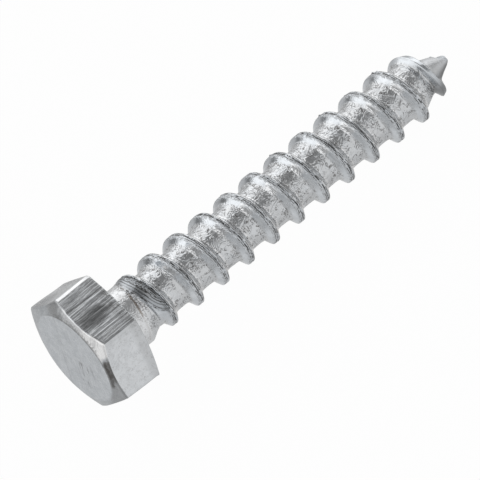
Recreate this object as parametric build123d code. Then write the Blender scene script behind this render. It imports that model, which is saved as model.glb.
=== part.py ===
from build123d import *
import math
import os

# Hex head wood screw: one cold-forged steel piece, with a coarse thread rolled along its whole shank.
# All sizes are in millimetres and degrees.
# The screw is drawn along +X, with its bearing face at x = 0, its head behind it and its point ahead,
# and with two flats of the head facing up and down. Angles about the axis run from +Y towards +Z.
# It is then tipped about the centre of its bearing face to lie as it comes to rest on a level surface.

# Head
ACROSS_FLATS = 13.0
HEAD_HEIGHT = 5.3
LONG_EDGE_BREAK = 0.2          # the small bevel on each of the six edges between the flats
END_DISC_DIAMETER = 11.3       # the flat that the chamfer leaves on the end
CHAMFER_ANGLE = 23.0           # the chamfer's cone, measured from the end face
BEARING_EDGE_BREAK = 0.2       # the small bevel where the flats meet the bearing face

# Shank
LENGTH = 50.0                  # bearing face to point
NECK_DIAMETER = 6.94           # the plain blank that is left below the head
NECK_FLARE = 0.4               # length and depth of the cone between the neck and the bearing face
NECK_LENGTH = 3.3
NECK_TAPER_LENGTH = 1.7        # where the rolled groove runs in, from the neck down to the core
CORE_DIAMETER = 5.74
POINT_HALF_ANGLE = 26.0
NOSE_DIAMETER = 0.9            # where the blunt nose begins
NOSE_LENGTH = 0.25
NOSE_END_DIAMETER = 0.5

# Thread, right hand, one start
THREAD_DIAMETER = 7.8
PITCH = 3.75
THREAD_PHASE = -23.6           # where the ridge's line, carried back, would leave the bearing face
THREAD_START = 1.5             # the ridge rises out of the neck here
FIRST_RIDGE_DIAMETER = 7.1     # as it does so
THREAD_RUN_IN = 6.4            # and has its full diameter after this length
THREAD_FADE = 3.0              # before the point, where the ridge starts to sink into the cone
THREAD_END = 0.95              # before the point, where it is gone
LAST_RIDGE_HEIGHT = 0.12
RIDGE_BASE_WIDTH = 1.65
RIDGE_CREST_WIDTH = 0.6
NARROWEST_SHARE = 0.45         # of its full width, where the ridge fades in and out

# Construction
RIDGE_BURY = 0.12              # depth to which the ridge's own foot reaches into the core
END_RISE = 1.5                 # length in which each end of the ridge rises out of the core
STEPS_PER_TURN = 11            # points on each edge of the ridge in one turn

HEAD_CORNER_RADIUS = ACROSS_FLATS / math.sqrt(3)
DISC_RADIUS = END_DISC_DIAMETER / 2
NECK_RADIUS = NECK_DIAMETER / 2
CORE_RADIUS = CORE_DIAMETER / 2
CREST_RADIUS = THREAD_DIAMETER / 2
RIDGE_HEIGHT = CREST_RADIUS - CORE_RADIUS
RIDGE_BURIED_WIDTH = RIDGE_BASE_WIDTH + (
    (RIDGE_BASE_WIDTH - RIDGE_CREST_WIDTH) * RIDGE_BURY / RIDGE_HEIGHT
)
TAPER_END = NECK_LENGTH + NECK_TAPER_LENGTH

NOSE_X = LENGTH - NOSE_LENGTH
NOSE_RADIUS = NOSE_DIAMETER / 2
NOSE_END_RADIUS = NOSE_END_DIAMETER / 2
CONE_LENGTH = (CORE_RADIUS - NOSE_RADIUS) / math.tan(math.radians(POINT_HALF_ANGLE))
CONE_START = NOSE_X - CONE_LENGTH


def core_radius(x):
    """Radius of the body under the thread."""
    if x <= NECK_LENGTH:
        return NECK_RADIUS
    if x <= TAPER_END:
        return NECK_RADIUS + (CORE_RADIUS - NECK_RADIUS) * (x - NECK_LENGTH) / NECK_TAPER_LENGTH
    if x <= CONE_START:
        return CORE_RADIUS
    if x <= NOSE_X:
        return NOSE_RADIUS + (CORE_RADIUS - NOSE_RADIUS) * (NOSE_X - x) / CONE_LENGTH
    return NOSE_RADIUS + (NOSE_END_RADIUS - NOSE_RADIUS) * (x - NOSE_X) / NOSE_LENGTH


def ridge_height(x):
    """Height of the thread's crest above the body, at its centre line."""
    run_in = min(max((x - THREAD_START) / THREAD_RUN_IN, 0.0), 1.0)
    first_radius = FIRST_RIDGE_DIAMETER / 2
    run_in_radius = CREST_RADIUS - (CREST_RADIUS - first_radius) * (1 - run_in) ** 2
    fade = min(max((x - LENGTH + THREAD_FADE) / (THREAD_FADE - THREAD_END), 0.0), 1.0)
    on_the_cone = RIDGE_HEIGHT - (RIDGE_HEIGHT - LAST_RIDGE_HEIGHT) * fade * fade
    height = min(run_in_radius - core_radius(x), on_the_cone)
    from_the_end = min(x - THREAD_START, LENGTH - THREAD_END - x)
    return height - (height + RIDGE_BURY / 2) * max(1 - from_the_end / END_RISE, 0.0)


def section_corner(x, width, on_crest):
    """One corner of the ridge's section, where the ridge's centre line is at x.

    width is twice the corner's distance from that line. A corner that isn't on the crest is at the
    foot, which is buried in the core.
    """
    angle = math.radians(THREAD_PHASE) + math.tau * x / PITCH
    height = ridge_height(x)
    spread = NARROWEST_SHARE + (1 - NARROWEST_SHARE) * max(height, 0.0) / RIDGE_HEIGHT
    corner_x = x + spread * width / 2
    radius = core_radius(corner_x) + (height if on_crest else -RIDGE_BURY)
    return Vector(corner_x, radius * math.cos(angle), radius * math.sin(angle))


def ridge_turn(first_x, last_x):
    """Edges along the ridge from first_x to last_x, one for each corner of its section."""
    section = [
        (-RIDGE_BURIED_WIDTH, False),
        (-RIDGE_CREST_WIDTH, True),
        (RIDGE_CREST_WIDTH, True),
        (RIDGE_BURIED_WIDTH, False),
    ]
    shares_of_turn = [step / STEPS_PER_TURN for step in range(STEPS_PER_TURN + 1)]
    edges = []
    for width, on_crest in section:
        points = [
            section_corner(first_x + (last_x - first_x) * part, width, on_crest)
            for part in shares_of_turn
        ]
        edges.append(Edge.make_spline(points, parameters=shares_of_turn))
    return edges


def ridge_end(edges, end):
    """Flat end of the ridge, across the first or the last of its edges."""
    return Face(Wire.make_polygon([edge.position_at(end) for edge in edges], close=True))


def thread_ridge():
    """The raised thread, as one closed solid whose foot lies inside the core."""
    length = LENGTH - THREAD_END - THREAD_START
    count = math.ceil(length / PITCH)
    turns = [
        ridge_turn(THREAD_START + length * turn / count, THREAD_START + length * (turn + 1) / count)
        for turn in range(count)
    ]
    faces = [ridge_end(turns[0], 0), ridge_end(turns[-1], 1)]
    for edges in turns:
        for edge, following in zip(edges, edges[1:] + edges[:1]):
            faces.append(Face.make_surface_from_curves(edge, following))
    return Solid(Shell(faces))


def head():
    """Hexagonal head, chamfered by one cone at its end, with a small bevel at its bearing edge."""
    hexagon = RegularPolygon(HEAD_CORNER_RADIUS, 6)
    hexagon = chamfer(hexagon.vertices(), LONG_EDGE_BREAK)
    prism = extrude(Plane.YZ * hexagon, -HEAD_HEIGHT)
    bearing_face = prism.faces().sort_by(Axis.X)[-1]
    prism = chamfer(bearing_face.outer_wire().edges(), BEARING_EDGE_BREAK)
    reach = HEAD_CORNER_RADIUS - DISC_RADIUS
    rim_x = -HEAD_HEIGHT + reach * math.tan(math.radians(CHAMFER_ANGLE))
    blank = Polyline(
        (-HEAD_HEIGHT, 0), (-HEAD_HEIGHT, DISC_RADIUS), (rim_x, HEAD_CORNER_RADIUS),
        (0, HEAD_CORNER_RADIUS), (0, 0), close=True,
    )
    return prism & revolve(make_face(blank), Axis.X)


def shank():
    """Neck, core and point as one turned blank, rooted in the middle of the head."""
    root_x = -HEAD_HEIGHT / 2
    flare_radius = NECK_RADIUS + NECK_FLARE
    outline = Polyline(
        (LENGTH, 0), (root_x, 0), (root_x, flare_radius), (0, flare_radius),
        (NECK_FLARE, NECK_RADIUS), (NECK_LENGTH, NECK_RADIUS), (TAPER_END, CORE_RADIUS),
        (CONE_START, CORE_RADIUS), (NOSE_X, NOSE_RADIUS), (LENGTH, NOSE_END_RADIUS), close=True,
    )
    return revolve(make_face(outline), Axis.X)


def rest_tilt():
    """How far the point dips when the screw lies on a flat of its head and on its thread.

    The head touches where its lower flat ends at the bevel. The thread touches at one of the places
    where its crest passes straight below the axis: the one that is met first.
    """
    below = 270.0
    first_x = PITCH * (((below - THREAD_PHASE) / 360) % 1)
    tilts = []
    for turn in range(math.ceil(LENGTH / PITCH)):
        x = first_x + turn * PITCH
        if x > LENGTH - THREAD_END:
            break
        drop = ACROSS_FLATS / 2 - core_radius(x) - ridge_height(x)
        tilts.append(math.degrees(math.atan2(drop, x + BEARING_EDGE_BREAK)))
    return min(tilts)


def screw():
    """The whole screw as it lies at rest, with the bearing face's centre at the origin."""
    body = head() + shank() + thread_ridge()
    return Rot(0, rest_tilt(), 0) * body


os.makedirs("parts", exist_ok=True)
hex_wood_screw = screw()
print("tilt at rest, degrees:", round(rest_tilt(), 3))
export_step(hex_wood_screw, "parts/hex_wood_screw.step")
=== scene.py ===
"""Looks of a zinc-plated hex head wood screw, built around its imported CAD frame.

Shapes are drawn in millimetres in the screw's own frame: +X from the head to the point, with the
bearing face at x = 0 and two flats of the head facing up and down. The finished mesh is scaled to
metres and dipped to lie as the CAD solid does.
"""

import math

import bmesh
import bpy
from mathutils import Euler, Matrix, Vector, noise


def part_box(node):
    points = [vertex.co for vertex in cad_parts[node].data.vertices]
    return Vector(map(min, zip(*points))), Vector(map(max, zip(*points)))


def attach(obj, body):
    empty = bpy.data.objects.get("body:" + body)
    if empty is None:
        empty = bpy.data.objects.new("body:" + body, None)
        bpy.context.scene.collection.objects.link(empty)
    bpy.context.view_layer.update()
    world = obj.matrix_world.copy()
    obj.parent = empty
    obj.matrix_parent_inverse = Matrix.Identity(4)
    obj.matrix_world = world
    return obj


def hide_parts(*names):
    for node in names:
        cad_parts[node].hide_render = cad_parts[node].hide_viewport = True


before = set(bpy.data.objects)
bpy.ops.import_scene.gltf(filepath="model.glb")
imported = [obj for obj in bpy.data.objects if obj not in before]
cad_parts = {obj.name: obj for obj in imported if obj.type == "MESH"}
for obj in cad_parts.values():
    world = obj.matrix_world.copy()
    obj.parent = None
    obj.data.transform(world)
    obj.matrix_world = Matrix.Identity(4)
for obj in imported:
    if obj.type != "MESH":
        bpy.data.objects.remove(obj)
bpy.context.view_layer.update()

MM = 0.001

# Camera, fitted to the photograph
CAMERA_PLACE = Vector((-0.258969, -0.316182, 0.766601))
CAMERA_TURN = Euler([math.radians(a) for a in (28.6108, 1.2260, -43.5498)])
LENS = 611.33
SENSOR_WIDTH = 36.0

# Head
ACROSS_FLATS = 13.0
HEAD_HEIGHT = 5.3
LONG_EDGE_SET_BACK = 0.12
WORN_EDGE_SET_BACK = 0.36      # of the one that faces the light
WORN_EDGE = math.radians(60)
LONG_EDGE_SEGMENTS = 6
FLAT_LEAST_LENGTH = 1.0        # an edge of the outline longer than this is a flat
CUTS_ACROSS_A_FLAT = 24
HEAD_OFF_CENTRE = 0.09
FAR_CORNER_FULLER = 0.20
NEAR_CORNER_DRAWN_IN = 0.13
DISC_RADIUS = 5.65
DISC_EDGE_REACH = 0.28         # half the width of its rounded edge
CHAMFER_SLOPE = math.tan(math.radians(23.0))

# Shank and thread
NECK_RADIUS = 3.47
NECK_CUT = 0.45                # the shank's skin begins here
NECK_GAP = 0.07                # and the head's ends this much before it, to be bridged
NECK_STEP = 0.004              # and this much further out
HEAD_SKIN_END = NECK_CUT - 0.03
CORE_RADIUS = 2.87
SPUN_RADIUS = 3.0              # of the tube that the thread is drawn on
CREST_RADIUS = 3.9
SUNK_CREST = 3.38              # the crest's radius where the ridge is still inside the neck
BULGE_RISE = 0.40              # above that, where the first turn bulges the neck
START_RISE = 0.42              # and where the ridge comes out of it
START_CREST = 3.80
PITCH = 3.75
PHASE = math.radians(-23.6)    # of the ridge's line at the bearing face, from +Y towards +Z
STEPS_PER_TURN = 128
RUN_RADIUS = 3.3               # at which the pattern's run along the thread is measured
SEAM_RUN_RADIUS = 3.6          # and the seam's
CONE_START = 44.69
CONE_SLOPE = math.tan(math.radians(26.0))
NOSE_START = 49.42
NOSE_RADIUS = 0.62
NOSE_REACH = 0.68
NOSE_CUT = 49.96
REST_DIP = math.radians(3.343)

# The ridge's section
RIDGE_HALF_WIDTH = 0.92        # at its foot
FLANK_WIDTH = 0.60

# Where the ridge changes, by the x of its middle
BULGE_RISES = 1.3, 2.1
BULGE_FALLS = 2.6, 3.2
CORE_TAPERS = 2.3, 5.0
RIDGE_STARTS = 3.85, 4.5
RIDGE_GROWS = 4.6, 8.5
RIDGE_NARROWS = 45.7, 46.5
RIDGE_ENDS = 47.3, 48.7

# Marks of rolling and wear on the shank
WRINKLE_HEIGHT = 0.016
CREST_WEAR = 0.11              # on the upper side
LIP_HEIGHT = 0.26              # beside the crest's seam
SEAM_LEAST_DEPTH = 0.03
SEAM_MORE_DEPTH = 0.07
NICK_X = 48.68                 # a burr on the point's cone
NICK_ANGLE = math.radians(20)
NICK_HEIGHT = 0.20
DIP_X = 49.02                  # in front of it
DIP_DEPTH = 0.17

# Places of the three finishes in the screw's list of materials, and where they meet
END, FLATS, THREAD = range(3)
FLATS_BEFORE_X = 0.6
FLATS_BEYOND_RADIUS = 5.5
END_BEFORE_X = 0.3
END_BEYOND_RADIUS = 4.5

# Swirls of the rolled skin, within the range of the cloud that they follow
SWIRLS_PER_FOLD = 5.0

# Painted reflections around the end's chamfer, light and dark, the darkest partly dirt: first and
# last angle and softness in degrees, share and colour
CHAMFER_PAINTED_REFLECTIONS = (
    (46, 66, 7, 0.9, (0.39, 0.395, 0.40, 1)),
    (68, 92, 4, 0.85, (0.84, 0.85, 0.86, 1)),
    (92, 131, 4, 0.95, (1.0, 1.0, 1.0, 1)),
    (136, 158, 3, 0.9, (0.19, 0.185, 0.18, 1)),
)

# Cracks along the crest: distance from its middle, half width and a number to tell them apart
CRACKS = (-0.20, 0.06, 3.0), (0.02, 0.09, 11.0), (0.20, 0.06, 23.0)

# Stripes on the neck, by their place along a slanting run, with a share and a colour each
STAINS = (
    (2.90, 3.10, 0.2, (0.42, 0.42, 0.43, 1)),
    (3.50, 3.74, 0.75, (0.25, 0.20, 0.16, 1)),
    (3.80, 3.95, 0.5, (0.95, 0.95, 0.96, 1)),
    (4.02, 4.10, 0.5, (0.35, 0.33, 0.31, 1)),
    (4.16, 4.30, 0.4, (0.90, 0.90, 0.91, 1)),
)

# Studio: levels of light by direction, as the first level and then its changes, each between two
# leans in degrees. Lean is 0 overhead, 90 along +Y and -90 along -Y.
LIGHT_TOWARDS_POINT = 0.62, (
    (-125, -90, 0.17), (-42, 2, -0.54), (28, 42, 0.74), (44, 72, 0.30), (80, 120, -0.75),
    (127, 147, 0.12), (150, 180, -0.03),
)
LIGHT_TOWARDS_HEAD = 0.77, (
    (-180, -140, -0.24), (-95, 0, 0.37), (20, 70, 0.35), (91, 103, -1.03), (111, 134, 0.45),
    (135, 158, 0.06), (158, 180, 0.05),
)
LIGHT_FROM_THE_ENDS = 0.56
WHITE_TO_CAMERA = 0.97
FLOOR_REACH = 3.0
FLOOR_COLOUR = (0.92, 0.92, 0.92, 1)

# Places along one pitch, from the middle of one root over the crest to the middle of the next
SECTION = [
    -1.875, -1.72, -1.62, -1.54, -1.48, -1.42, -1.36, -1.28, -1.18, -1.08, -0.99, -0.92, -0.86,
    -0.79, -0.71, -0.62, -0.53, -0.45, -0.38, -0.31, -0.24, -0.17, -0.11, -0.06, -0.02, 0.02, 0.06,
    0.10, 0.14, 0.18, 0.22, 0.26, 0.31, 0.37, 0.44, 0.52, 0.61, 0.70, 0.79, 0.88, 0.98, 1.10, 1.24,
    1.40, 1.62, 1.875,
]


def smooth(value, low, high):
    """0 below low, 1 above high, with an even S between them."""
    t = min(max((value - low) / (high - low), 0.0), 1.0)
    return t * t * (3 - 2 * t)


def core_radius(x):
    """Radius of the root, with the point's cone and its blunt nose."""
    if x <= CONE_START:
        return CORE_RADIUS
    cone = CORE_RADIUS - (x - CONE_START) * CONE_SLOPE
    cone -= 0.03 * math.exp(-((x - CONE_START) / 0.6) ** 2)
    past_start = max(x - NOSE_START, 0.0) / NOSE_REACH
    nose = NOSE_RADIUS * math.sqrt(max(1 - past_start ** 2, 0.0))
    return nose + soft_floor(cone + 0.16 * smooth(x, 46.5, 48.5) - 0.60, 0.06)


def bow(x):
    """Sideways stray from the axis: the head sits off centre and the shank isn't quite straight."""
    on_shank = smooth(x, -0.1, 0.3)
    shank = -0.06 + 0.0045 * max(x - 8.0, 0.0) + 0.05 * smooth(x, 46.0, 49.0)
    return HEAD_OFF_CENTRE * (1 - on_shank) + on_shank * shank


def crest_radius(middle):
    """Radius of the ridge's crest, from the bulge that the first turn leaves on the neck."""
    bulge = BULGE_RISE * smooth(middle, *BULGE_RISES) * (1 - smooth(middle, *BULGE_FALLS))
    start = SUNK_CREST + START_RISE * smooth(middle, *RIDGE_STARTS)
    full = start + (CREST_RADIUS - START_CREST) * smooth(middle, *RIDGE_GROWS)
    return max(SUNK_CREST + bulge, full) if middle < 3.9 else full


def soft_floor(value, rounding):
    """Zero below zero, the value above it, with a rounded bend between them."""
    return 0.5 * (value + math.sqrt(value * value + rounding * rounding))


def lap_share(offset, middle):
    """Place on the first ridge's face: -1 at its foot and 0 at its crest, however wide it is."""
    width = 0.3 + 1.4 * smooth(middle, 4.0, 4.75) - 0.2 * smooth(middle, 4.95, 5.3)
    return offset / width


def ridge_share(offset, middle):
    """Height of the ridge's section at this distance from its middle, as a share of the whole."""
    last = smooth(middle, *RIDGE_NARROWS) - 0.55 * smooth(middle, 46.6, 47.0)
    apart = abs(offset + 0.28 * last) * RIDGE_HALF_WIDTH / (RIDGE_HALF_WIDTH - 0.29 * last)
    if offset > 0:
        wider = 0.95 * (1 - smooth(middle, 2.6, 4.2))
        apart *= RIDGE_HALF_WIDTH / (RIDGE_HALF_WIDTH + wider)
    flank = soft_floor((RIDGE_HALF_WIDTH - apart) / FLANK_WIDTH, 0.14)
    flank = 1 - soft_floor(1 - flank, 0.05)
    foot = smooth(1.6 - apart, 0.0, 1.0)
    share = 0.93 * flank + 0.07 * foot
    broad = smooth(middle, 4.0, 4.45) * (1 - smooth(middle, 5.45, 6.15))
    if offset < 0 and broad > 0:
        lap = lap_share(offset, middle)
        face = 0.40 * smooth(lap, -1.04, -0.93) + 0.47 * smooth(lap, -0.96, -0.12)
        share = max(share, broad * face)
    return share


def ridge_offset(x, angle):
    """Distance along the axis from the nearest turn of the ridge's middle."""
    middle = PITCH * (angle - PHASE) / math.tau
    return (x - middle + PITCH / 2) % PITCH - PITCH / 2


def shank_radius(x, angle):
    """Radius of the shank before its finer marks, and where that place is on the thread."""
    offset = ridge_offset(x, angle)
    middle = x - offset
    groove = middle + math.copysign(PITCH / 2, offset)
    root = core_radius(x) + (NECK_RADIUS - CORE_RADIUS) * (1 - smooth(groove, *CORE_TAPERS))
    crest = max(crest_radius(middle), root)
    crest = min(crest, core_radius(x) + 1.03 + 0.20 * smooth(x, 45.5, 47.0))
    sunk = smooth(middle, *RIDGE_ENDS)
    crest = root + (crest - root) * (1 - sunk)
    share = ridge_share(offset, middle)
    return root + share * (crest - root), share, offset, middle


def place_on_axis(x, radius, angle):
    """The point at this radius and angle around the screw's axis."""
    return Vector((x, radius * math.cos(angle), radius * math.sin(angle)))


def build_shank(bm):
    """The thread, spun from one pitch of its section, cut square at the neck and at the nose."""
    across = bm.verts.layers.float.new("across")
    first = bm.verts.new((SECTION[0], SPUN_RADIUS, 0.0))
    last = bm.verts.new((SECTION[-1], SPUN_RADIUS, 0.0))
    edge = bm.edges.new((first, last))
    bmesh.ops.subdivide_edges(bm, edges=[edge], cuts=len(SECTION) - 2)
    start = -PITCH
    for vert, offset in zip(sorted(bm.verts, key=lambda v: v.co.x), SECTION):
        angle = PHASE + math.tau * start / PITCH
        vert.co = place_on_axis(start + offset, SPUN_RADIUS, angle)
        vert[across] = offset
    bmesh.ops.spin(
        bm, geom=bm.verts[:] + bm.edges[:], cent=(0, 0, 0), axis=(1, 0, 0),
        dvec=(PITCH / STEPS_PER_TURN, 0, 0), angle=math.tau, steps=STEPS_PER_TURN,
        use_merge=False, use_duplicate=False,
    )
    for turns in (1, 2, 4, 8):
        copied = bmesh.ops.duplicate(bm, geom=bm.verts[:] + bm.edges[:] + bm.faces[:])["geom"]
        copied_verts = [g for g in copied if isinstance(g, bmesh.types.BMVert)]
        bmesh.ops.translate(bm, verts=copied_verts, vec=(PITCH * turns, 0, 0))
    run = bm.loops.layers.uv.new("thread_run")
    for face in bm.faces:
        for loop in face.loops:
            offset = loop.vert[across]
            along = (loop.vert.co.x - offset) * math.tau * RUN_RADIUS / PITCH
            loop[run].uv = (offset, along)
    bmesh.ops.remove_doubles(bm, verts=bm.verts[:], dist=0.002)
    for x, cut_away in ((NECK_CUT, False), (NOSE_CUT, True)):
        bmesh.ops.bisect_plane(
            bm, geom=bm.verts[:] + bm.edges[:] + bm.faces[:], dist=1e-5,
            plane_co=(x, 0, 0), plane_no=(1, 0, 0),
            clear_outer=cut_away, clear_inner=not cut_away,
        )


def seam_height(offset, middle, above):
    """Height along the crest's seam: a narrow fold and, beside it, a lip that breaks into burrs."""
    along = middle * math.tau / PITCH * SEAM_RUN_RADIUS
    wander = noise.noise(Vector((along * 0.22, 0.3, 7.1))) * 0.12
    wander += noise.noise(Vector((along * 0.9, 5.3, 2.1))) * 0.08
    centre = offset - 0.02 - wander
    fold = math.exp(-(centre / 0.05) ** 2)
    deeper = smooth(noise.noise(Vector((along * 0.6, 4.2, 0.0))), -0.4, 0.4)
    depth = SEAM_LEAST_DEPTH + SEAM_MORE_DEPTH * deeper
    lip = math.exp(-((centre - 0.10) / 0.09) ** 2)
    burr = max(noise.fractal(Vector((along * 1.5, 9.1, offset * 2)), 0.8, 2.0, 2), 0.0)
    burr *= 0.1 + above * (0.25 + 0.75 * smooth(middle, 22.0, 30.0))
    return lip * LIP_HEIGHT * burr - fold * depth


def point_marks(x, angle):
    """Height of the burr on the point's cone, less the dip in front of it."""
    nick = math.exp(-((x - NICK_X) / 0.16) ** 2 - ((angle - NICK_ANGLE) / 0.3) ** 2)
    dip = math.exp(-((x - DIP_X) / 0.2) ** 2 - ((angle - NICK_ANGLE) / 0.7) ** 2)
    return nick * NICK_HEIGHT - dip * DIP_DEPTH


def shape_shank(bm):
    """Moves the spun tube's skin to the thread's radius, with its seam, burrs and wrinkles."""
    ridge = bm.verts.layers.float.new("ridge")
    worn = bm.verts.layers.float.new("worn")
    laps = bm.verts.layers.float.new("laps")
    for vert in bm.verts:
        x = vert.co.x
        angle = math.atan2(vert.co.z, vert.co.y)
        radius, share, offset, middle = shank_radius(x, angle)
        place = place_on_axis(x, SPUN_RADIUS, angle)
        wrinkle = noise.fractal(place * 1.2, 0.6, 2.0, 3) * WRINKLE_HEIGHT
        above = smooth(math.sin(angle + math.radians(20)), 0.1, 0.7)
        on_thread = smooth(middle, 3.9, 4.6) * (1 - smooth(middle, 44.0, 46.0))
        on_first = smooth(middle, 4.0, 4.3) * (1 - smooth(middle, 5.15, 5.7)) * (offset < 0.05)
        radius -= CREST_WEAR * share * above * smooth(middle, 8.0, 20.0)
        radius += wrinkle * (1 - share) * smooth(x, 2.0, 5.0)
        radius += on_thread * seam_height(offset, middle, above)
        radius += point_marks(x, angle)
        vert.co = place_on_axis(x, radius, angle) + Vector((0, bow(x), 0))
        vert[ridge] = share * smooth(middle, 3.6, 4.4)
        vert[worn] = on_thread
        lap = lap_share(offset, middle)
        vert[laps] = (1.1 + lap) * on_first * (1 - smooth(-lap, 1.1, 1.4))


def head_rings():
    """Rings of the head from the neck to its chamfer, as (roundness, inset, x) each.

    Roundness 1 is a circle whose radius is given by inset, and 0 is the hexagon's outline, drawn in
    by inset.
    """
    fillet = (3.50, 0.30), (3.58, 0.14), (3.72, 0.04), (3.92, 0.0), (4.6, 0.02)
    rings = [(1.0, radius, x) for radius, x in fillet]
    rings += [(0.5, 0.7, 0.10), (0.0, 0.55, 0.15), (0.0, 0.12, 0.17)]
    rings += [(0.0, 0.06, 0.16), (0.0, 0.02, 0.12), (0.0, 0.0, 0.06)]
    rings += [(0.0, 0.0, x) for x in (-0.2, -0.9, -1.5, -2.1, -2.7, -3.3, -3.8)]
    return rings


def off_true(place):
    """Where forging left a place of the head: off centre, with an uneven bearing edge."""
    x, y, z = place
    angle = math.atan2(z, y)
    from_middle = (angle % math.radians(60)) / math.radians(30) - 1
    by_rim = smooth(x, -1.6, 0.0) * smooth(math.hypot(y, z), 4.4, 6.4)
    tilt = 0.024 * min(y, 0.0) + 0.20 * smooth(y, 4.0, 7.4)
    bulge = (0.10 + 0.14 * smooth(-y, 2.0, 4.0)) * (1 - from_middle * from_middle)
    far_corner = FAR_CORNER_FULLER * smooth(y, 4.6, 7.3) * smooth(-x, 0.3, 4.0)
    near_corner = NEAR_CORNER_DRAWN_IN * smooth(-y, 4.6, 7.3) * smooth(x, -6.0, -1.0)
    by_end = 1 - 0.02 * smooth(-x, 4.6, 5.2)
    return Vector((x + by_rim * (tilt + bulge), y * by_end + bow(x) + far_corner - near_corner, z))


def build_head(bm):
    """The head, drawn from the neck outwards as rings around a hexagon with rounded corners."""
    corner = ACROSS_FLATS / math.sqrt(3)
    turn = Matrix.Rotation(math.radians(90), 4, "Y")
    made = bmesh.ops.create_circle(bm, cap_ends=False, radius=corner, segments=6, matrix=turn)
    outline = made["verts"]
    turn_to_corner = math.atan2(outline[0].co.z, outline[0].co.y) % math.radians(60)
    bmesh.ops.rotate(
        bm, verts=outline, cent=(0, 0, 0), matrix=Matrix.Rotation(-turn_to_corner, 3, "X")
    )
    worn_edge = min(outline, key=lambda v: abs(math.atan2(v.co.z, v.co.y) - WORN_EDGE))
    others = [vert for vert in outline if vert != worn_edge]
    for corners, set_back in ((others, LONG_EDGE_SET_BACK), ([worn_edge], WORN_EDGE_SET_BACK)):
        bmesh.ops.bevel(
            bm, geom=corners, offset=set_back, offset_type="OFFSET",
            segments=LONG_EDGE_SEGMENTS, profile=0.5, affect="VERTICES", material=-1,
        )
    loose = [e for e in bm.edges if e.is_wire]
    long_edges = [e for e in loose if e.calc_length() > FLAT_LEAST_LENGTH]
    bmesh.ops.subdivide_edges(bm, edges=long_edges, cuts=CUTS_ACROSS_A_FLAT)
    ring = [e for e in bm.edges if e.is_wire]
    neck_loop = ring
    hexagon = {}
    verts = {v for e in ring for v in e.verts}
    for vert in verts:
        hexagon[round(math.atan2(vert.co.z, vert.co.y), 5)] = math.hypot(vert.co.y, vert.co.z)

    def outline_radius(angle):
        """Radius of the hexagon's outline at its point nearest this angle."""
        return hexagon[min(hexagon, key=lambda a: abs(a - angle))]

    def settle(ring_verts, place):
        """Moves a ring to the x and radius that place gives for its outline."""
        for vert in ring_verts:
            angle = math.atan2(vert.co.z, vert.co.y)
            x, radius = place(outline_radius(angle))
            vert.co = place_on_axis(x, radius, angle)

    def grow(ring_edges, place):
        """Draws out the next ring of faces and gives back its free edges."""
        made = bmesh.ops.extrude_edge_only(bm, edges=ring_edges)["geom"]
        settle([g for g in made if isinstance(g, bmesh.types.BMVert)], place)
        return [g for g in made if isinstance(g, bmesh.types.BMEdge) and g.is_boundary]

    def chamfer_x(radius):
        """Where the chamfer's cone is at this radius."""
        return -HEAD_HEIGHT + (radius - DISC_RADIUS) * CHAMFER_SLOPE

    settle(verts, lambda rho: (NECK_CUT - NECK_GAP, NECK_RADIUS + NECK_STEP))
    for roundness, inset, x in head_rings():
        def place(rho, roundness=roundness, inset=inset, x=x):
            """This ring's place, from a circle to the hexagon."""
            if roundness == 1.0:
                return x, inset
            hexed = rho * (1 - inset / (ACROSS_FLATS / 2))
            return x, hexed + roundness * (ACROSS_FLATS / 2 - 1.2 - hexed)
        ring = grow(ring, place)
    for before in (0.32, 0.11):
        ring = grow(ring, lambda rho, d=before: (chamfer_x(rho) + d, rho))
    for share in (0.10, 0.28, 0.6):
        def on_chamfer(rho, share=share):
            """A place part of the way from the outline to the end disc."""
            radius = rho + (DISC_RADIUS + DISC_EDGE_REACH - rho) * share
            return chamfer_x(radius), radius
        ring = grow(ring, on_chamfer)
    for step in (1.0, 0.7, 0.4, 0.15, -0.15, -0.4, -0.7, -1.0):
        reach = DISC_EDGE_REACH * step
        rise = CHAMFER_SLOPE * (reach + DISC_EDGE_REACH) ** 2 / (4 * DISC_EDGE_REACH)
        ring = grow(ring, lambda rho, r=DISC_RADIUS + reach, x=rise - HEAD_HEIGHT: (x, r))
    for radius in (4.4, 3.2, 2.0, 0.9):
        ring = grow(ring, lambda rho, r=radius: (-HEAD_HEIGHT, r))
    bmesh.ops.holes_fill(bm, edges=ring)
    for vert in bm.verts:
        if vert.co.x < HEAD_SKIN_END:
            vert.co = off_true(vert.co)
    return neck_loop


def finish_of(face):
    """Which of the three finishes a face has."""
    centre = face.calc_center_median()
    from_axis = centre.yz.length
    faces_out = abs(face.normal.x) < 0.5
    if centre.x < FLATS_BEFORE_X and faces_out and from_axis > FLATS_BEYOND_RADIUS:
        return FLATS
    if centre.x < END_BEFORE_X or from_axis > END_BEYOND_RADIUS:
        return END
    return THREAD


def add_object(name, data):
    """Puts a mesh or a camera into the scene."""
    thing = bpy.data.objects.new(name, data)
    bpy.context.scene.collection.objects.link(thing)
    return thing


def make_piece(name, bm):
    """The finished shape as an object of its own."""
    mesh = bpy.data.meshes.new(name)
    bm.to_mesh(mesh)
    bm.free()
    return add_object(name, mesh)


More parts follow.
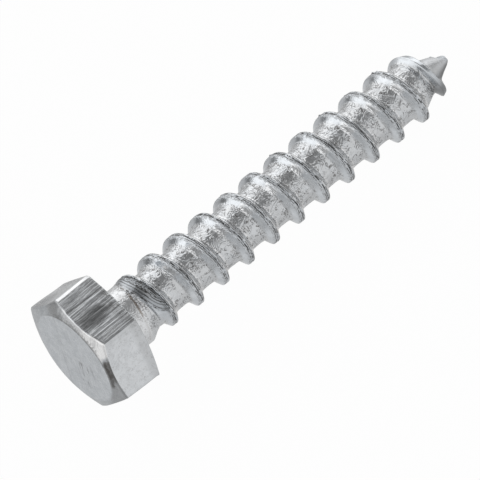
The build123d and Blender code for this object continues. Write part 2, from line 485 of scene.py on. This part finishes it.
def build_screw():
    """The whole screw as one closed skin."""
    bm = bmesh.new()
    build_shank(bm)
    shape_shank(bm)
    neck_edges = [
        e for e in bm.edges
        if e.is_boundary and all(abs(v.co.x - NECK_CUT) < 1e-3 for v in e.verts)
    ]
    nose_edges = [e for e in bm.edges if e.is_boundary and e not in set(neck_edges)]
    bmesh.ops.holes_fill(bm, edges=nose_edges)
    head_start = build_head(bm)
    bmesh.ops.bridge_loops(bm, edges=neck_edges + [e for e in head_start if e.is_boundary])
    bmesh.ops.recalc_face_normals(bm, faces=bm.faces[:])
    for face in bm.faces:
        face.smooth = True
        face.material_index = finish_of(face)
    bmesh.ops.scale(bm, vec=(MM, MM, MM), verts=bm.verts[:])
    bmesh.ops.rotate(
        bm, verts=bm.verts[:], cent=(0, 0, 0), matrix=Matrix.Rotation(REST_DIP, 3, "Y")
    )
    return make_piece("screw_skin", bm)


def feed(tree, socket, value):
    """Links an output to a socket, or sets a plain value on it."""
    if isinstance(value, bpy.types.NodeSocket):
        tree.links.new(value, socket)
    else:
        socket.default_value = value


def put(tree, kind, inputs=None, **settings):
    """A node with its settings made and its sockets fed."""
    node = tree.nodes.new(kind)
    for name, value in settings.items():
        setattr(node, name, value)
    for key, value in (inputs or {}).items():
        feed(tree, node.inputs[key], value)
    return node


def calc(tree, operation, *values):
    """One sum on numbers."""
    inputs = dict(enumerate(values))
    return put(tree, "ShaderNodeMath", inputs, operation=operation).outputs[0]


def product(tree, first, *others):
    """All the values multiplied."""
    for other in others:
        first = calc(tree, "MULTIPLY", first, other)
    return first


def from_half(tree, value):
    """How far a value is from a half, which makes lines of a cloud."""
    return calc(tree, "ABSOLUTE", calc(tree, "SUBTRACT", value, 0.5))


def split(tree, vector):
    """The parts of a place, by name."""
    return put(tree, "ShaderNodeSeparateXYZ", {0: vector}).outputs


def stretch(tree, vector, factors):
    """A place with each of its parts multiplied."""
    inputs = {0: vector, 1: factors}
    return put(tree, "ShaderNodeVectorMath", inputs, operation="MULTIPLY").outputs[0]


def cloud(tree, vector, scale, detail=2.0, roughness=0.5, distortion=0.0):
    """Soft noise around 0.5."""
    inputs = {
        "Vector": vector, "Scale": scale, "Detail": detail,
        "Roughness": roughness, "Distortion": distortion,
    }
    return put(tree, "ShaderNodeTexNoise", inputs).outputs[0]


def ease(tree, value, low, high, start=0.0, end=1.0):
    """An even S from start at low to end at high."""
    inputs = {
        "Value": value, "From Min": low, "From Max": high, "To Min": start, "To Max": end,
    }
    node = put(tree, "ShaderNodeMapRange", inputs, interpolation_type="SMOOTHSTEP")
    return node.outputs[0]


def blend(tree, share, first, second):
    """Mixes two colours."""
    node = put(tree, "ShaderNodeMix", data_type="RGBA")
    feed(tree, node.inputs["Factor"], share)
    feed(tree, node.inputs[6], first)
    feed(tree, node.inputs[7], second)
    return node.outputs[2]


def tint(tree, colour, mask, share, tone):
    """The colour with a share of another over it where the mask is 1."""
    return blend(tree, product(tree, mask, share), colour, tone)


def between(tree, value, low, high, soft):
    """1 where the value is between low and high, with soft ends."""
    after = ease(tree, value, low - soft, low + soft)
    before = ease(tree, value, high + soft, high - soft)
    return product(tree, after, before)


def sector(tree, around, first, last, soft):
    """1 between two angles around the axis, all in degrees."""
    return between(tree, around, math.radians(first), math.radians(last), math.radians(soft))


def new_group(name, inputs, outputs):
    """A node group, with the nodes that carry its inputs and outputs."""
    group = bpy.data.node_groups.new(name, "ShaderNodeTree")
    for label, kind, value in inputs:
        socket = group.interface.new_socket(label, in_out="INPUT", socket_type=kind)
        socket.default_value = value
    for label, kind in outputs:
        group.interface.new_socket(label, in_out="OUTPUT", socket_type=kind)
    given = group.nodes.new("NodeGroupInput").outputs
    result = group.nodes.new("NodeGroupOutput").inputs
    return group, given, result


def make_groups():
    """The effects that the zinc's materials share."""
    vector, number = "NodeSocketVector", "NodeSocketFloat"
    groups = {}

    tree, given, result = new_group(
        "plating_mottle",
        [("Place", vector, (0, 0, 0)), ("Grain", number, 1.0)],
        [("Mottle", number)],
    )
    broad = cloud(tree, given["Place"], given["Grain"], 3.0, 0.6)
    fine = cloud(tree, given["Place"], product(tree, given["Grain"], 4.3), 2.0)
    both = calc(tree, "MULTIPLY_ADD", fine, 0.35, product(tree, broad, 0.65))
    feed(tree, result["Mottle"], ease(tree, both, 0.34, 0.66))
    groups["mottle"] = tree

    tree, given, result = new_group(
        "drawn_lines",
        [("Place", vector, (0, 0, 0)), ("Lines", number, 3.0)],
        [("Height", number), ("Dark", number)],
    )
    broad = cloud(tree, given["Place"], product(tree, given["Lines"], 0.3), 2.0)
    fine = cloud(tree, given["Place"], given["Lines"], 2.0, 0.65)
    both = calc(tree, "MULTIPLY_ADD", fine, 0.45, product(tree, broad, 0.55))
    feed(tree, result["Height"], calc(tree, "SUBTRACT", both, 0.5))
    feed(tree, result["Dark"], ease(tree, both, 0.44, 0.34))
    groups["lines"] = tree

    tree, given, result = new_group(
        "rolled_skin",
        [("Place", vector, (0, 0, 0)), ("Size", number, 1.0), ("Swirl", number, 1.0)],
        [("Height", number), ("Crease", number)],
    )
    folds = cloud(tree, given["Place"], given["Size"], 1.5, 0.5, given["Swirl"])
    grain = cloud(tree, given["Place"], product(tree, given["Size"], 4.0), 2.0, 0.6)
    swirl = calc(tree, "SINE", product(tree, folds, SWIRLS_PER_FOLD * math.tau))
    curl = cloud(tree, given["Place"], product(tree, given["Size"], 2.1), 2.0, 0.55, 1.2)
    apart = from_half(tree, curl)
    crease = ease(tree, apart, 0.045, 0.014)
    here = ease(tree, cloud(tree, given["Place"], 1.5, 2.0), 0.46, 0.54)
    crease = product(tree, crease, here)
    feed(tree, result["Crease"], crease)
    height = product(tree, swirl, 0.013)
    height = calc(tree, "MULTIPLY_ADD", folds, 0.03, height)
    height = calc(tree, "MULTIPLY_ADD", grain, 0.007, height)
    height = calc(tree, "MULTIPLY_ADD", crease, -0.012, height)
    feed(tree, result["Height"], height)
    groups["skin"] = tree

    tree, given, result = new_group(
        "ragged_patch",
        [("Place", vector, (0, 0, 0)), ("Centre", vector, (0, 0, 0)), ("Reach", number, 1.0)],
        [("Mask", number)],
    )
    inputs = {0: given["Place"], 1: given["Centre"]}
    gap = put(tree, "ShaderNodeVectorMath", inputs, operation="DISTANCE").outputs["Value"]
    share = calc(tree, "DIVIDE", gap, given["Reach"])
    ragged = calc(tree, "MULTIPLY_ADD", cloud(tree, given["Place"], 1.6, 4.0, 0.65), 1.0, share)
    feed(tree, result["Mask"], ease(tree, ragged, 1.5, 0.9))
    groups["patch"] = tree

    tree, given, result = new_group(
        "torn_line",
        [("Run", vector, (0, 0, 0)), ("Offset", number, 0.0), ("Width", number, 0.05),
         ("Seed", number, 0.0)],
        [("Mask", number)],
    )
    across = split(tree, given["Run"])
    seed = put(tree, "ShaderNodeCombineXYZ", {"X": given["Seed"]}).outputs[0]
    inputs = {0: given["Run"], 1: (0.0, 1.0, 0.0), 2: seed}
    along = put(tree, "ShaderNodeVectorMath", inputs, operation="MULTIPLY_ADD").outputs[0]
    wander = calc(tree, "MULTIPLY_ADD", cloud(tree, along, 0.8, 4.0, 0.6), 0.5, -0.25)
    breaks = ease(tree, cloud(tree, along, 1.3, 3.0, 0.6, 0.4), 0.43, 0.50)
    apart = calc(tree, "SUBTRACT", across["X"], calc(tree, "ADD", wander, given["Offset"]))
    apart = calc(tree, "DIVIDE", calc(tree, "ABSOLUTE", apart), given["Width"])
    feed(tree, result["Mask"], product(tree, ease(tree, apart, 1.0, 0.3), breaks))
    groups["torn"] = tree
    return groups


GROUPS = make_groups()


def use(tree, name, **inputs):
    """Places one of the shared groups."""
    node = tree.nodes.new("ShaderNodeGroup")
    node.node_tree = GROUPS[name]
    for key, value in inputs.items():
        feed(tree, node.inputs[key], value)
    return node.outputs


def new_zinc(name):
    """A metal's material, with places on it in millimetres in the screw's own frame."""
    material = bpy.data.materials.new(name)
    material.use_nodes = True
    tree = material.node_tree
    shader = tree.nodes["Principled BSDF"]
    shader.inputs["Metallic"].default_value = 1.0
    own = put(tree, "ShaderNodeTexCoord").outputs["Object"]
    place = put(
        tree, "ShaderNodeMapping",
        {"Vector": own, "Rotation": (0, -REST_DIP, 0), "Scale": (1 / MM, 1 / MM, 1 / MM)},
    ).outputs[0]
    return material, tree, shader, place


def raise_skin(tree, shader, height):
    """Height in millimetres to the shader's normal."""
    bump = put(tree, "ShaderNodeBump", {"Height": height, "Distance": MM, "Strength": 1.0})
    tree.links.new(bump.outputs[0], shader.inputs["Normal"])


def end_zinc():
    """Satin plate on the end disc; on its chamfer painted reflections: a painted highlight, a
    darker painted top and a dark patch, partly a smear of dirt and partly painted shade.
    """
    material, tree, shader, place = new_zinc("zinc_end")
    mottle = use(tree, "mottle", Place=place, Grain=0.9)["Mottle"]
    grain = use(tree, "mottle", Place=place, Grain=3.5)["Mottle"]
    turned = put(tree, "ShaderNodeMapping", {"Vector": place, "Rotation": (0.35, 0, 0)}).outputs[0]
    scratch = use(tree, "lines", Place=stretch(tree, turned, (1.0, 1.0, 0.07)), Lines=2.6)
    parts = split(tree, place)
    flat = put(tree, "ShaderNodeCombineXYZ", {"Y": parts["Y"], "Z": parts["Z"]}).outputs[0]
    radius = put(tree, "ShaderNodeVectorMath", {0: flat}, operation="LENGTH").outputs["Value"]
    beyond = calc(tree, "SUBTRACT", radius, DISC_RADIUS)
    at_end = ease(tree, parts["X"], -3.0, -3.6)
    on_chamfer = product(tree, ease(tree, beyond, -0.12, 0.2), at_end)
    around = calc(tree, "ARCTAN2", parts["Z"], parts["Y"])
    around = calc(tree, "MULTIPLY_ADD", cloud(tree, place, 0.9, 3.0, 0.6), 0.35, around)
    around = calc(tree, "SUBTRACT", around, 0.175)
    colour = blend(tree, mottle, (0.555, 0.58, 0.605, 1), (0.665, 0.69, 0.715, 1))
    chamfer_colour = blend(tree, mottle, (0.485, 0.505, 0.525, 1), (0.59, 0.61, 0.63, 1))

    # The chamfer, with painted reflections by its angle, darker towards -Y, with a dark patch and
    # with specks along the disc's edge
    # Painted light and dark reflections, set by the angle around the chamfer
    for first, last, soft, share, tone in CHAMFER_PAINTED_REFLECTIONS:
        chamfer_colour = tint(tree, chamfer_colour, sector(tree, around, first, last, soft), share, tone)
    low = calc(tree, "MULTIPLY_ADD", grain, 0.5, parts["Y"])
    chamfer_colour = blend(tree, ease(tree, low, -4.9, -5.6, 0.0, 0.5), chamfer_colour, (0.24, 0.24, 0.24, 1))
    # A dark patch towards -Y, partly a smear of dirt and partly painted shade
    inner = ease(tree, calc(tree, "MULTIPLY_ADD", grain, 0.5, beyond), 1.0, 0.55)
    smudge_and_shade = product(tree, sector(tree, around, 138, 172, 4), inner)
    chamfer_colour = tint(tree, chamfer_colour, smudge_and_shade, 0.78, (0.07, 0.065, 0.06, 1))
    specks = ease(tree, calc(tree, "MULTIPLY_ADD", grain, -0.6, beyond), 0.15, -0.15)
    specks = product(tree, specks, sector(tree, around, 55, 125, 8))
    chamfer_colour = tint(tree, chamfer_colour, specks, 0.6, (0.22, 0.22, 0.22, 1))
    colour = blend(tree, on_chamfer, colour, chamfer_colour)
    side = sector(tree, around, 40, 168, 15)
    edge = between(tree, beyond, -0.07, 0.10, 0.05)
    edge = product(tree, edge, side, ease(tree, grain, 0.0, 0.7, 0.5), at_end)
    colour = tint(tree, colour, edge, 0.7, (0.17, 0.165, 0.16, 1))

    # Scratches over the whole end, and a few fine ones near the disc's middle
    colour = tint(tree, colour, scratch["Dark"], 0.35, (0.30, 0.30, 0.31, 1))
    fine = cloud(tree, stretch(tree, turned, (1.0, 1.0, 0.16)), 1.5, 1.0)
    fine = ease(tree, from_half(tree, fine), 0.030, 0.010)
    near = use(tree, "patch", Place=place, Centre=(-5.3, -1.6, -1.0), Reach=2.6)["Mask"]
    fine = product(tree, fine, near, 0.75)
    colour = blend(tree, fine, colour, (0.22, 0.22, 0.23, 1))
    feed(tree, shader.inputs["Base Color"], colour)
    feed(tree, shader.inputs["Roughness"], ease(tree, grain, 0.0, 1.0, 0.26, 0.42))
    height = product(tree, scratch["Height"], 0.006)
    height = calc(tree, "MULTIPLY_ADD", grain, 0.003, height)
    raise_skin(tree, shader, height)
    return material


def flats_zinc():
    """The six flats, with the lines that trimming left along the screw."""
    material, tree, shader, place = new_zinc("zinc_flats")
    lines = use(tree, "lines", Place=stretch(tree, place, (0.015, 1.0, 1.0)), Lines=3.2)
    hair = use(tree, "lines", Place=stretch(tree, place, (0.05, 1.0, 1.0)), Lines=7.0)
    mottle = use(tree, "mottle", Place=place, Grain=0.8)["Mottle"]
    skin = use(tree, "skin", Place=place, Size=1.8, Swirl=0.6)
    parts = split(tree, place)
    by_bearing = ease(tree, parts["X"], -1.3, -0.5)
    trimmed = ease(tree, parts["Y"], -4.3, -3.3)
    plain = ease(tree, trimmed, 1.0, 0.0)
    colour = blend(tree, mottle, (0.68, 0.70, 0.72, 1), (0.76, 0.78, 0.80, 1))

    def patch(centre, reach, share, tone, squash=(1.0, 1.0, 1.0)):
        """The colour so far with a ragged patch on it."""
        where = tuple(c * s for c, s in zip(centre, squash))
        mask = use(tree, "patch", Place=stretch(tree, place, squash), Centre=where, Reach=reach)
        return tint(tree, colour, mask["Mask"], share, tone)

    # Stains near the end, a dulled edge, a patch of painted shade on the +Y flat near the end and
    # painted shade over the flats that face +Y
    colour = patch((-3.0, -0.35, 6.5), 1.6, 0.7, (0.12, 0.12, 0.12, 1), (0.5, 1.0, 1.0))
    by_edge = between(tree, parts["Y"], -3.9, -2.2, 0.5)
    colour = tint(tree, colour, by_edge, 0.22, (0.25, 0.25, 0.25, 1))
    # A patch of painted shade on the flat towards +Y near the end
    colour = patch((-4.6, 6.4, 2.6), 3.0, 0.6, (0.26, 0.27, 0.28, 1))
    # Painted shade over the flats that face +Y
    far_flat_shade = ease(tree, parts["Y"], 3.9, 4.4, 0.0, 0.16)
    colour = blend(tree, far_flat_shade, colour, (0.25, 0.25, 0.26, 1))

    # Trimming lines, pits towards the bearing face and the worn edge, brightened partly as a
    # painted highlight
    lined = product(tree, lines["Dark"], trimmed)
    haired = product(tree, hair["Dark"], trimmed)
    colour = tint(tree, colour, lined, 0.75, (0.13, 0.13, 0.13, 1))
    colour = tint(tree, colour, haired, 0.5, (0.16, 0.16, 0.16, 1))
    speckle = product(tree, skin["Crease"], calc(tree, "MAXIMUM", by_bearing, plain))
    colour = tint(tree, colour, by_bearing, 0.25, (0.3, 0.3, 0.3, 1))
    speckle = product(tree, speckle, ease(tree, trimmed, 0.0, 1.0, 0.34, 0.7))
    colour = blend(tree, speckle, colour, (0.2, 0.19, 0.18, 1))
    around = calc(tree, "ARCTAN2", parts["Z"], parts["Y"])
    # The worn edge made near white, partly wear and partly a painted highlight
    rub_and_highlight = sector(tree, around, 57.0, 62.5, 0.8)
    colour = tint(tree, colour, rub_and_highlight, 0.7, (0.90, 0.91, 0.92, 1))
    feed(tree, shader.inputs["Base Color"], colour)
    feed(tree, shader.inputs["Roughness"], ease(tree, mottle, 0.0, 1.0, 0.13, 0.24))
    height = product(tree, lines["Height"], 0.11)
    height = calc(tree, "MULTIPLY_ADD", hair["Height"], 0.09, height)
    height = product(tree, height, ease(tree, trimmed, 0.0, 1.0, 0.12, 1.0))
    rough_edge = product(tree, skin["Height"], by_bearing)
    height = calc(tree, "MULTIPLY_ADD", rough_edge, 0.03, height)
    raise_skin(tree, shader, height)
    return material


def thread_zinc():
    """The rolled shank: wrinkled root, burnished ridge, torn crest and a browner point side."""
    material, tree, shader, place = new_zinc("zinc_thread")
    run = put(tree, "ShaderNodeUVMap", uv_map="thread_run").outputs[0]
    across = split(tree, run)["X"]
    ridge = put(tree, "ShaderNodeAttribute", attribute_name="ridge").outputs["Fac"]
    worn = put(tree, "ShaderNodeAttribute", attribute_name="worn").outputs["Fac"]
    laps = put(tree, "ShaderNodeAttribute", attribute_name="laps").outputs["Fac"]
    parts = split(tree, place)
    skin = use(tree, "skin", Place=place, Size=0.9, Swirl=1.2)
    mottle = use(tree, "mottle", Place=place, Grain=0.7)["Mottle"]
    grain = use(tree, "mottle", Place=place, Grain=2.6)["Mottle"]
    lines = use(tree, "lines", Place=stretch(tree, run, (1.0, 0.06, 0.0)), Lines=4.0)
    burnish = ease(tree, ridge, 0.10, 0.5)
    rough_side = ease(tree, burnish, 1.0, 0.0)
    neck = ease(tree, parts["X"], 3.1, 2.4)
    cone = ease(tree, parts["X"], 46.5, 47.5)
    uneven = calc(tree, "MULTIPLY_ADD", grain, 0.16, calc(tree, "SUBTRACT", across, 0.08))
    point_side = product(tree, between(tree, uneven, 0.26, 0.70, 0.10), worn)
    crest = product(tree, between(tree, uneven, -0.37, 0.19, 0.06), worn)

    # Root and ridge and the ridge's two sides, with a painted highlight along the foot on the point
    # side, painted shade between 108 and 138 degrees around and a painted highlight on the upper
    # side
    root_colour = blend(tree, mottle, (0.665, 0.675, 0.685, 1), (0.715, 0.735, 0.755, 1))
    ridge_colour = blend(tree, mottle, (0.67, 0.70, 0.73, 1), (0.76, 0.79, 0.82, 1))
    colour = blend(tree, burnish, root_colour, ridge_colour)
    colour = tint(tree, colour, point_side, 0.85, (0.70, 0.685, 0.67, 1))
    # A painted highlight along the foot on the point side
    foot = product(tree, between(tree, uneven, 0.72, 1.12, 0.10), worn)
    colour = tint(tree, colour, foot, 0.8, (0.90, 0.90, 0.90, 1))
    around = calc(tree, "ARCTAN2", parts["Z"], parts["Y"])
    on_top = sector(tree, around, 84, 109, 6)
    # Painted shade on the ridge between 108 and 138 degrees around
    flank_shade = product(tree, sector(tree, around, 108, 138, 12), burnish, 0.16)
    colour = blend(tree, flank_shade, colour, (0.30, 0.34, 0.38, 1))
    # A painted highlight on the ridge's sides on the upper side
    sides = calc(tree, "MAXIMUM", between(tree, uneven, -0.92, -0.42, 0.08), point_side)
    top_highlight = product(tree, on_top, sides, worn)
    colour = tint(tree, colour, top_highlight, 0.9, (0.98, 0.99, 1.0, 1))

    # Creases of the root, lines along the ridge and cracks along its crest, whose darkness is
    # partly dirt and partly painted shade in the fold
    creased = product(tree, skin["Crease"], ease(tree, cone, 1.0, 0.0), rough_side)
    colour = tint(tree, colour, creased, 0.85, (0.15, 0.14, 0.135, 1))
    lined = product(tree, lines["Dark"], ease(tree, ridge, 0.02, 0.3))
    colour = tint(tree, colour, lined, 0.35, (0.24, 0.24, 0.24, 1))
    # Dark along the crest's fold and its cracks, partly dirt and partly painted shade
    torn = ease(tree, grain, 0.2, 0.8, 0.0, 0.35)
    colour = blend(tree, product(tree, crest, torn), colour, (0.20, 0.19, 0.18, 1))
    cracks = 0.0
    for offset, width, seed in CRACKS:
        crack = use(tree, "torn", Run=run, Offset=offset, Width=width, Seed=seed)["Mask"]
        cracks = calc(tree, "MAXIMUM", cracks, crack)
    cracks = product(tree, cracks, worn)
    colour = tint(tree, colour, cracks, 0.82, (0.04, 0.035, 0.03, 1))

    # Folds fanned over the first turn, their dark lines partly dirt and partly painted shade
    fan = put(tree, "ShaderNodeCombineXYZ", {"X": laps, "Y": product(tree, mottle, 0.1)})
    folded = cloud(tree, fan.outputs[0], 4.0, 3.0, 0.6)
    lapped = ease(tree, from_half(tree, folded), 0.05, 0.01)
    lapped = product(tree, lapped, ease(tree, laps, 0.02, 0.12))
    on_lap = ease(tree, laps, 0.05, 0.25)
    colour = tint(tree, colour, on_lap, 0.62, (0.30, 0.32, 0.34, 1))
    colour = tint(tree, colour, lapped, 0.9, (0.05, 0.045, 0.04, 1))

    # The bright neck with its slanting stains, which fade towards its sides
    colour = tint(tree, colour, neck, 0.5, (0.90, 0.91, 0.92, 1))
    slant = calc(tree, "MULTIPLY_ADD", around, 0.46, parts["X"])
    slant = calc(tree, "MULTIPLY_ADD", grain, 0.12, slant)
    for first, last, share, tone in STAINS:
        stain = between(tree, slant, first, last, 0.04)
        stain = product(tree, stain, ease(tree, parts["X"], 3.7, 3.4))
        stain = product(tree, stain, ease(tree, parts["Y"], -2.7, -1.7, 0.2, 1.0))
        stain = product(tree, stain, ease(tree, parts["Y"], 0.7, -0.1, 0.2, 1.0))
        colour = tint(tree, colour, stain, share, tone)

    # Painted shade on the point's side around -Y
    from_above = ease(tree, around, math.radians(112), math.radians(165))
    from_below = ease(tree, around, math.radians(-100), math.radians(-165))
    at_point = ease(tree, parts["X"], 44.6, 46.4)
    point_shade = product(tree, calc(tree, "MAXIMUM", from_above, from_below), at_point)
    colour = tint(tree, colour, point_shade, 0.72, (0.10, 0.10, 0.10, 1))
    feed(tree, shader.inputs["Base Color"], colour)

    # Polish
    rough = ease(tree, grain, 0.0, 1.0, 0.08, 0.17)
    rough = calc(tree, "MULTIPLY_ADD", burnish, 0.03, rough)
    rough = calc(tree, "MULTIPLY_ADD", crest, 0.08, rough)
    rough = calc(tree, "MULTIPLY_ADD", neck, 0.15, rough)
    rough = calc(tree, "MULTIPLY_ADD", cone, 0.32, rough)
    feed(tree, shader.inputs["Roughness"], rough)

    # Height, calmer on the ridge, the neck and the cone
    plain = calc(tree, "MAXIMUM", cone, product(tree, neck, 0.5))
    calm = ease(tree, burnish, 0.0, 1.0, 1.0, 0.12)
    calm = product(tree, calm, ease(tree, plain, 0.0, 1.0, 1.0, 0.12))
    height = product(tree, skin["Height"], calm)
    by_foot = between(tree, across, -0.98, -0.72, 0.06)
    streaks = calc(tree, "MULTIPLY_ADD", by_foot, 0.05, 0.012)
    height = calc(tree, "MULTIPLY_ADD", lines["Height"], streaks, height)
    height = calc(tree, "MULTIPLY_ADD", cracks, -0.03, height)
    height = calc(tree, "MULTIPLY_ADD", product(tree, grain, crest), -0.04, height)
    folds = product(tree, folded, ease(tree, laps, 0.0, 0.1))
    height = calc(tree, "MULTIPLY_ADD", folds, 0.10, height)
    raise_skin(tree, shader, height)
    return material


def light_level(tree, lean, levels):
    """A level of light that changes as the direction leans."""
    level, changes = levels
    for first, last, change in changes:
        step = ease(tree, lean, math.radians(first), math.radians(last), 0.0, change)
        level = calc(tree, "ADD", step, level)
    return level


def build_world():
    """A light tent: a soft box along one side, a dim gap overhead and a grey wall opposite."""
    world = bpy.data.worlds.new("studio")
    bpy.context.scene.world = world
    world.use_nodes = True
    tree = world.node_tree
    tree.nodes.clear()
    place = put(tree, "ShaderNodeTexCoord").outputs["Generated"]
    parts = split(tree, place)
    lean = calc(tree, "ARCTAN2", parts["Y"], parts["Z"])
    by_point = ease(tree, parts["X"], -0.58, -0.30)
    towards_head = light_level(tree, lean, LIGHT_TOWARDS_HEAD)
    towards_point = light_level(tree, lean, LIGHT_TOWARDS_POINT)
    level = put(tree, "ShaderNodeMix", {0: by_point, 2: towards_head, 3: towards_point}).outputs[0]
    at_ends = ease(tree, calc(tree, "ABSOLUTE", parts["X"]), 0.97, 0.999)
    level = put(tree, "ShaderNodeMix", {0: at_ends, 2: level, 3: LIGHT_FROM_THE_ENDS}).outputs[0]
    light = put(tree, "ShaderNodeBackground", {"Strength": level})
    white = put(tree, "ShaderNodeBackground", {"Color": (1, 1, 1, 1)})
    light.inputs["Color"].default_value = (1, 1, 1, 1)
    seen = put(tree, "ShaderNodeLightPath").outputs["Is Camera Ray"]
    mix = put(tree, "ShaderNodeMixShader", {0: seen, 1: light.outputs[0], 2: white.outputs[0]})
    put(tree, "ShaderNodeOutputWorld", {"Surface": mix.outputs[0]})


def build_floor(level):
    """A white floor that keeps a faint shadow, and is clear in mirrored rays."""
    bm = bmesh.new()
    bmesh.ops.create_grid(bm, x_segments=1, y_segments=1, size=FLOOR_REACH)
    bmesh.ops.translate(bm, verts=bm.verts[:], vec=(0, 0, level))
    floor = make_piece("floor", bm)
    material = bpy.data.materials.new("white_floor")
    material.use_nodes = True
    tree = material.node_tree
    tree.nodes.clear()
    cloth = put(tree, "ShaderNodeBsdfDiffuse", {"Color": FLOOR_COLOUR})
    glow = put(tree, "ShaderNodeEmission", {"Color": (1, 1, 1, 1)})
    seen = put(tree, "ShaderNodeLightPath").outputs
    shown = product(tree, seen["Is Camera Ray"], WHITE_TO_CAMERA)
    mix = put(tree, "ShaderNodeMixShader", {0: shown, 1: cloth.outputs[0], 2: glow.outputs[0]})
    clear = put(tree, "ShaderNodeBsdfTransparent")
    mirrored = calc(tree, "MAXIMUM", seen["Is Glossy Ray"], seen["Is Transmission Ray"])
    both = put(tree, "ShaderNodeMixShader", {0: mirrored, 1: mix.outputs[0], 2: clear.outputs[0]})
    put(tree, "ShaderNodeOutputMaterial", {"Surface": both.outputs[0]})
    floor.data.materials.append(material)


def build_camera():
    """The photograph's viewpoint."""
    data = bpy.data.cameras.new("camera")
    data.lens = LENS
    data.sensor_width = SENSOR_WIDTH
    data.clip_start = 0.01
    camera = add_object("camera", data)
    camera.matrix_world = Matrix.LocRotScale(CAMERA_PLACE, CAMERA_TURN, None)
    bpy.context.scene.camera = camera


bpy.context.scene.view_settings.view_transform = "Standard"
build_camera()
build_world()
build_floor(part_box("hex_wood_screw")[0].z)

# The finishes go in as END, FLATS and THREAD number them
screw = build_screw()
for zinc in (end_zinc(), flats_zinc(), thread_zinc()):
    screw.data.materials.append(zinc)
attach(screw, "root")
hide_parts("hex_wood_screw")
